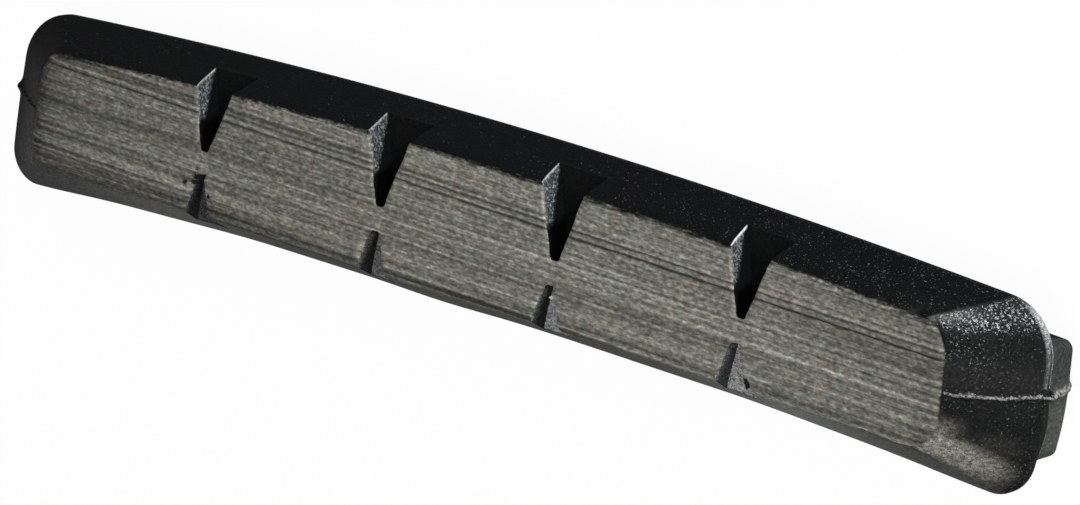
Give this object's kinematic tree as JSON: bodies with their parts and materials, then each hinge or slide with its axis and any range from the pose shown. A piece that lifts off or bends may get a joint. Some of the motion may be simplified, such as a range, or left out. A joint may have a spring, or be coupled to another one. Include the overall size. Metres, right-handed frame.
{
  "type": "bicycle rim brake pad insert",
  "caption": "Long bowed rubber friction block with leaning ends, wedge grooves cut in from both long sides and a slide-in rail on its back, for a rim brake shoe.",
  "frame": {"origin": "middle of the rail's back face, at mid-length", "axes": "+X along the pad towards the rail's stopped end, +Y towards the outer bowed side, +Z out of the friction face"},
  "size_m": [0.07, 0.0116, 0.0068],
  "materials": {
    "rubber": "matt black moulded skin; friction face ground to a grey-brown with lengthwise lines"
  },
  "bodies": {
    "root": {"brake_pad_insert": "rubber"}
  },
  "joints": []
}
